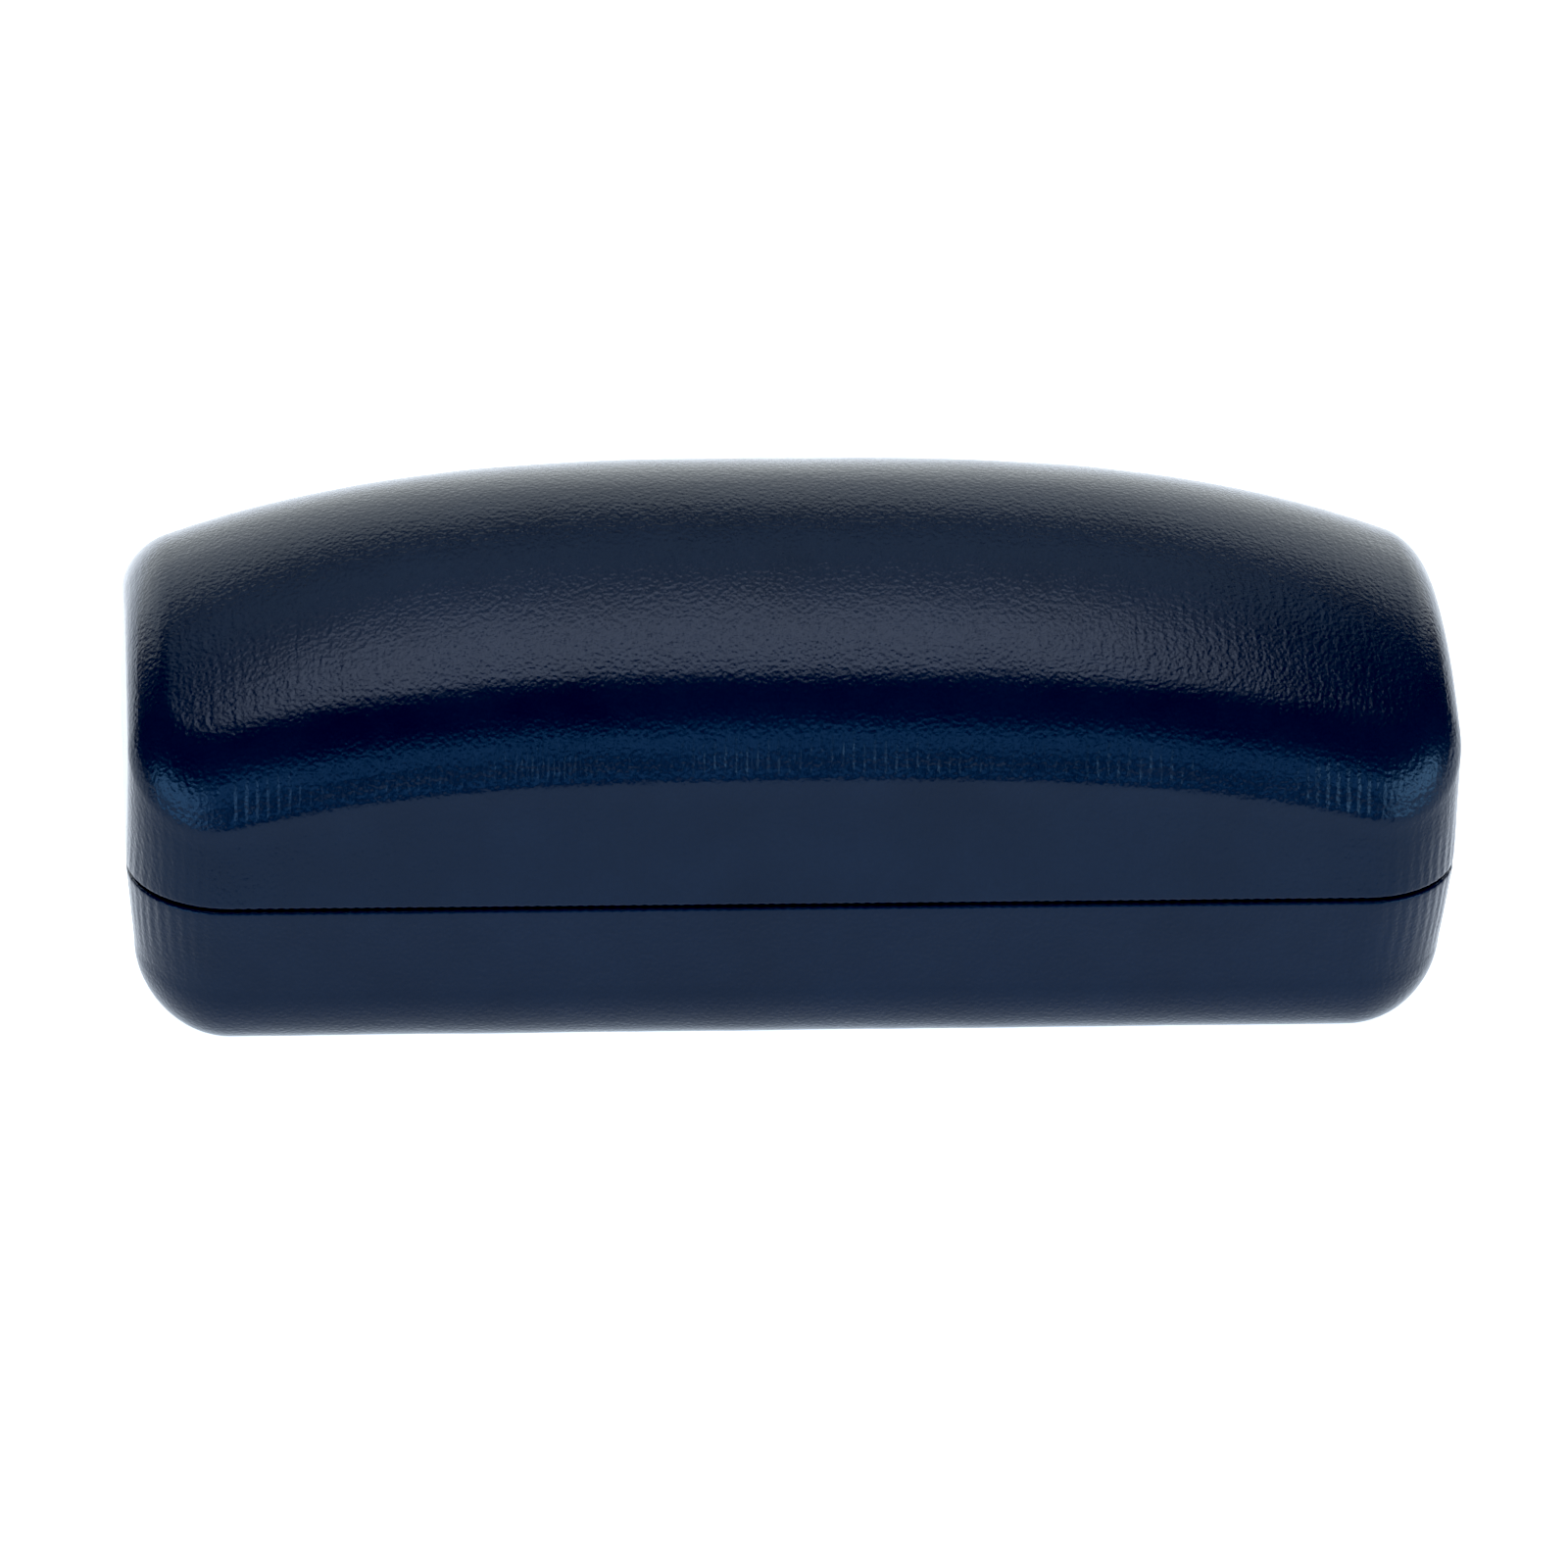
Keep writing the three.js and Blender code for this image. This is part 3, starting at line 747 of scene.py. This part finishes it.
base_cushion = base_pad()
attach(base_cushion, "base")
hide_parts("base_cushion")

LID_PAD = {"top": 4.3, "bottom": 7.3, "share": 0.8}


def lid_pad():
    half = Lid(LINING_PLAN)
    edge = PAD_EDGE
    high = LID_PAD["top"] + PAD_GAP
    low = LID_PAD["bottom"] - CROWN_ROOM
    shares = np.linspace(0.06, 1.0, 12)[:-1]

    def ring(share, inward):
        reach = LID_PAD["share"] * share
        return half.roof_ring(reach, inward)

    round_off = [(1 - 0.045 * (1 - math.cos(a)), low - edge * (1 - math.sin(a)))
                 for a in np.linspace(QUARTER, 0, 4)]
    over = [(1 - 0.03 * math.sin(a), high + edge * (1 - math.sin(a)) * 0.6)
            for a in np.linspace(0, QUARTER, 4)]
    under_rings = [ring(share * 0.955, low) for share in shares]
    edge_rings = [ring(share, inward) for share, inward in round_off + over]
    top_rings = [ring(share * 0.97, high) for share in shares[::-1]]
    rings = under_rings + edge_rings + top_rings
    points, faces = loft(rings, half.middle(low), half.middle(high))
    made = mesh_object("lid_pad", points, faces, VELOUR)
    return padded_out(made, lambda normals: normals[:, 2] > 0.3)


lid_cushion = lid_pad()
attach(lid_cushion, "lid")
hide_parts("lid_cushion")

# ---------------------------------------------------------------- hinge

BARREL_RADIUS, PIN_RADIUS = 1.5, 0.75
HINGE_HALF, KNUCKLES, KNUCKLE_GAP = 38.0, 5, 0.3
LEAF = {"near": 2.0, "far": 2.6, "start": 1.7, "end": 8.6}
STRIP = BARREL_RADIUS - 0.84
RIVETS = {"left": -34.0, "middle": 0.0, "right": 34.0}
RIVET_HEIGHT = 4.6
# A rivet's shank and domed head, as (radius, inward) points from its outer end.
RIVET_PROFILE = [
    (0, 1.25), (0.9, 1.25), (1.0, 1.35), (1.0, 2.7), (1.9, 2.7), (2.0, 2.8), (1.95, 2.95), (1.7, 3.15),
    (1.25, 3.3), (0.7, 3.38), (0, 3.4),
]
SPRINGS = {"left": -19.0, "right": 19.0}
SPRING = {"inward": 3.0, "bow": 0.5, "end": 6.8, "toe": 2.1, "toe_height": 6.6, "thick": 0.36, "half": 4.5}


def back_place(x, inward, height):
    """A point at the back wall, by its distance inwards from the hinge axis."""
    return np.array([x, HALF_DEPTH - inward, height])


def strip_outline(centre_line, thickness):
    """The outline of a bent strip from its centre line."""
    line = np.asarray(centre_line, float)
    tangent = np.gradient(line, axis=0)
    tangent /= np.linalg.norm(tangent, axis=1)[:, None]
    normal = np.stack([-tangent[:, 1], tangent[:, 0]], 1) * thickness / 2
    return np.concatenate([line + normal, (line - normal)[::-1]])


def extrude_strip(centre_line, thickness, side, x0, x1):
    """A strip bent along a centre line of (inward, height) points, x1 - x0 wide, edges eased."""
    ease = 0.06
    stations = [(x0, thickness - 2 * ease), (x0 + ease, thickness), (x1 - ease, thickness),
                (x1, thickness - 2 * ease)]
    rings = []
    for x, thick in stations:
        outline = strip_outline(centre_line, thick)
        rings.append(np.array([back_place(x, inward, side * height) for inward, height in outline]))
    points, faces = loft(rings)
    count, half = len(rings[0]), len(rings[0]) // 2
    for start, flip in ((0, False), ((len(rings) - 1) * count, True)):
        for k in range(half - 1):
            quad = (start + k, start + k + 1, start + count - 2 - k, start + count - 1 - k)
            faces.append(quad if flip else tuple(reversed(quad)))
    return points, faces


def knuckle_line():
    """The centre line of a leaf's tongue: up from the leaf, over to the pin and rolled round it."""
    mid = (LEAF["near"] + LEAF["far"]) / 2
    ring = PIN_RADIUS + 0.09 + STRIP / 2
    bend = 0.9
    line = [(mid, 3.0), (mid, 2.5)]
    line += [(mid - bend * (1 - math.cos(a)), ring + bend * (1 - math.sin(a)))
             for a in np.linspace(0, QUARTER, 7)]
    line += [(0.7, ring)]
    line += [(ring * math.sin(a), ring * math.cos(a)) for a in np.linspace(0, -math.radians(285), 40)]
    return line


def build_leaf(name, side, first_knuckle):
    mid = (LEAF["near"] + LEAF["far"]) / 2
    plate_line = [(mid, h) for h in np.linspace(LEAF["end"], LEAF["start"] + 0.5, 6)]
    parts = [extrude_strip(plate_line, LEAF["far"] - LEAF["near"], side, -HINGE_HALF, HINGE_HALF)]
    pitch = (2 * HINGE_HALF + KNUCKLE_GAP) / KNUCKLES
    for k in range(first_knuckle, KNUCKLES, 2):
        start = -HINGE_HALF + k * pitch
        parts.append(extrude_strip(knuckle_line(), STRIP, side, start, start + pitch - KNUCKLE_GAP))
    points, faces = joined(parts)
    return mesh_object(name, points, faces, HINGE_STEEL)


def turned_piece(name, profile, axis, material, steps=32):
    """A piece turned from a profile of (radius, along) points; axis(radius, angle, along) gives a point."""
    angles = np.linspace(0, 4 * QUARTER, steps, endpoint=False)
    rings = [np.array([axis(radius, a, along) for a in angles]) for radius, along in profile[1:-1]]
    ends = [axis(0, 0, profile[i][1]) for i in (0, -1)]
    points, faces = loft(rings, *ends)
    return mesh_object(name, points, faces, material)


for half_name, side, first_knuckle in (("base", -1, 0), ("lid", 1, 1)):
    leaf = build_leaf(f"{half_name}_leaf", side, first_knuckle)
    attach(leaf, half_name)
    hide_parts(f"hinge_{half_name}_leaf")
    for place, x in RIVETS.items():
        rivet = turned_piece(
            f"{half_name}_{place}_rivet", RIVET_PROFILE,
            lambda r, a, t: back_place(x + r * math.cos(a), t, side * RIVET_HEIGHT + r * math.sin(a)),
            HINGE_STEEL,
        )
        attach(rivet, half_name)
        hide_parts(f"{half_name}_rivet_{place}")

PIN_END = HINGE_HALF + KNUCKLE_GAP
pin_profile = [(0, 0.8), (0.5, 0.78), (0.9, 0.66), (1.12, 0.45), (1.2, 0.2), (1.15, 0.0), (PIN_RADIUS, 0.0)]
pin_profile = [(r, -PIN_END - t) for r, t in pin_profile] + [(r, PIN_END + t) for r, t in pin_profile[::-1]]
pin = turned_piece(
    "hinge_pin_steel", pin_profile,
    lambda r, a, t: np.array([t, HALF_DEPTH + r * math.cos(a), r * math.sin(a)]), HINGE_STEEL,
)
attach(pin, "base")
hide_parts("hinge_pin")


def blended(made):
    """Bakes a piece's transform into its mesh."""
    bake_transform(made)


def spring_line():
    """The centre line of a spring: a bowed blade between two toes that hook into the leaves."""
    inward, toe, height, end = (SPRING[k] for k in ("inward", "toe", "toe_height", "end"))
    hook = [(toe, height), (toe + 0.5, height), (inward - 0.2, height - 0.1)]
    heights = np.linspace(0.7 - end, end - 0.7, 25)
    blade = [(inward + SPRING["bow"] * (1 - (h / end) ** 2), h) for h in heights]
    return [(i, -h) for i, h in hook] + blade + hook[::-1]


for place, x in SPRINGS.items():
    points, faces = extrude_strip(spring_line(), SPRING["thick"], 1, x - SPRING["half"], x + SPRING["half"])
    spring = mesh_object(f"{place}_spring_steel", points, faces, SPRING_STEEL)
    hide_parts(f"snap_spring_{place}")
    blended(spring)

# ---------------------------------------------------------------- hinge band

BAND = {"half": 45.0, "near": 4.2, "far": 4.8, "below": 12.0, "above": 11.0}


def build_band():
    """A strip of velour over the hinge, its edges folded under a little."""
    xs = np.linspace(-BAND["half"], BAND["half"], 91)
    zs = np.linspace(-BAND["below"], BAND["above"], 47)
    grid_x, grid_z = np.meshgrid(xs, zs)
    to_edge = np.minimum(grid_z + BAND["below"], BAND["above"] - grid_z)
    to_edge = np.minimum(BAND["half"] - np.abs(grid_x), to_edge)
    hem = 1 - smooth_step(to_edge, 1.6, 2.4)
    crown = np.sqrt(np.clip(to_edge / 0.5, 0, 1))
    flat_points = np.stack([grid_x.ravel(), grid_z.ravel(), 0 * grid_x.ravel()], 1)
    ripple = 0.04 * noise_at(flat_points, 6.0, 41).reshape(grid_x.shape)
    thickness = (0.42 + 0.18 * hem) * (0.35 + 0.65 * crown)
    front = BAND["near"] + thickness + ripple * crown
    rear = np.full_like(front, BAND["near"]) + 0.05 * (1 - crown)
    sides = [np.stack([grid_x, HALF_DEPTH - inward, grid_z], 2).reshape(-1, 3) for inward in (front, rear)]
    rows, columns = grid_x.shape
    count = rows * columns
    faces = []
    for r in range(rows - 1):
        for c in range(columns - 1):
            a = r * columns + c
            faces.append((a, a + 1, a + columns + 1, a + columns))
            faces.append((count + a, count + a + columns, count + a + columns + 1, count + a + 1))
    rim = list(range(columns))
    rim += [r * columns + columns - 1 for r in range(1, rows)]
    rim += [(rows - 1) * columns + c for c in range(columns - 2, -1, -1)]
    rim += [r * columns for r in range(rows - 2, 0, -1)]
    for here, after in zip(rim, rim[1:] + rim[:1]):
        faces.append((here, count + here, count + after, after))
    return mesh_object("hinge_band_velour", np.concatenate(sides), faces, VELOUR)


band = build_band()
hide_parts("hinge_band")
blended(band)

for half_name in ("lid", "base"):
    shell = frame["nodes"][f"{half_name}_shell"]
    shell.data.materials.clear()
    shell.data.materials.append(SHELL_STEEL)

# ---------------------------------------------------------------- studio

def stage_plane(name, centre, size, turn, material):
    bpy.ops.mesh.primitive_plane_add(size=1, location=centre, rotation=turn)
    plane = bpy.context.object
    plane.name = name
    plane.scale = (size[0], size[1], 1)
    plane.data.materials.append(material)
    return plane


def floor_material():
    """White paper with a little glow of its own, so that it stays pale where the lights fall off."""
    n = Nodes("floor_paper")
    return n.finish(
        Base_Color=(0.8, 0.8, 0.8, 1), Roughness=0.9, Specular_IOR_Level=0.0,
        Emission_Color=(0.84, 0.92, 1.0, 1), Emission_Strength=FLOOR_GLOW,
    )


FLOOR_GLOW = 1.2
stage_plane("floor", (0, 0, 0), (8, 8), (0, 0, 0), floor_material())


def soft_light(name, azimuth, elevation, distance, size, radiance, colour):
    """A rectangular light that faces the case; azimuth 0 is in front, 90 to the right."""
    a, e = math.radians(azimuth), math.radians(elevation)
    back = Vector((math.sin(a) * math.cos(e), -math.cos(a) * math.cos(e), math.sin(e)))
    data = bpy.data.lights.new(name, "AREA")
    data.shape = "RECTANGLE"
    data.size, data.size_y = size
    data.energy = radiance * math.pi * size[0] * size[1]
    data.color = colour
    lamp = bpy.data.objects.new(name, data)
    lamp.location = back * distance + Vector((0, 0, 0.03))
    lamp.rotation_mode = "QUATERNION"
    lamp.rotation_quaternion = back.to_track_quat("Z", "Y")
    lamp.visible_camera = False
    bpy.context.scene.collection.objects.link(lamp)
    return lamp


soft_light("window_left", -50, 10, 1.6, (1.3, 0.36), 7.5, (0.34, 0.64, 1.0))
soft_light("window_middle", 0, 18, 1.6, (1.5, 0.36), 3.6, (0.26, 0.55, 1.0))
soft_light("window_right", 54, 10, 1.6, (1.3, 0.36), 8.5, (0.42, 0.72, 1.0))
soft_light("overhead_lamp", 0, 84, 1.6, (1.35, 0.50), 5.2, (1.0, 0.94, 1.0))
soft_light("ceiling_fill", 180, 72, 1.6, (1.9, 0.5), 1.8, (0.72, 0.85, 1.0))
soft_light("backdrop_light", 180, 27, 1.6, (3.6, 1.6), 2.15, (0.95, 1.0, 1.0))

world = bpy.data.worlds.new("studio")
bpy.context.scene.world = world
world.use_nodes = True
tree = world.node_tree
dark_room = tree.nodes["Background"]
dark_room.inputs["Color"].default_value = (0.01, 0.01, 0.015, 1)
backdrop = tree.nodes.new("ShaderNodeBackground")  # seen only past the floor's edge, from low down
backdrop.inputs["Color"].default_value = (1.0, 1.0, 1.0, 1)
path = tree.nodes.new("ShaderNodeLightPath")
either = tree.nodes.new("ShaderNodeMixShader")
tree.links.new(path.outputs["Is Camera Ray"], either.inputs[0])
tree.links.new(dark_room.outputs[0], either.inputs[1])
tree.links.new(backdrop.outputs[0], either.inputs[2])
tree.links.new(either.outputs[0], tree.nodes["World Output"].inputs["Surface"])

BLACK_LEVEL = 0.005  # the deepest tones are cut a little, as a camera's contrast curve does
CAMERA = {"azimuth": -6.28, "elevation": 28.0, "roll": 2.53, "distance": 1.0, "lens": 186.8,
          "target": (0.0, 0.0, 10.0), "lower": 8.89}


def place_camera():
    azimuth, elevation, roll = (math.radians(CAMERA[k]) for k in ("azimuth", "elevation", "roll"))
    back = Vector((math.sin(azimuth) * math.cos(elevation), -math.cos(azimuth) * math.cos(elevation),
                   math.sin(elevation)))
    target = Vector(to_frame(CAMERA["target"]))
    eye = target + back * CAMERA["distance"]

    def axes(backward):
        right = Vector((0, 0, 1)).cross(backward).normalized()
        up = backward.cross(right)
        return (right * math.cos(roll) + up * math.sin(roll), up * math.cos(roll) - right * math.sin(roll))

    aim = target - axes(back)[1] * CAMERA["lower"] * MM
    backward = (eye - aim).normalized()
    right, up = axes(backward)
    data = bpy.data.cameras.new("camera")
    data.lens = CAMERA["lens"]
    data.sensor_width = 36.0
    data.clip_start, data.clip_end = 0.05, 50
    camera = bpy.data.objects.new("camera", data)
    camera.matrix_world = Matrix((
        (right.x, up.x, backward.x, eye.x), (right.y, up.y, backward.y, eye.y),
        (right.z, up.z, backward.z, eye.z), (0, 0, 0, 1),
    ))
    bpy.context.scene.collection.objects.link(camera)
    bpy.context.scene.camera = camera


place_camera()
view = bpy.context.scene.view_settings
view.view_transform = "Standard"
view.use_curve_mapping = True
view.curve_mapping.black_level = (BLACK_LEVEL,) * 3
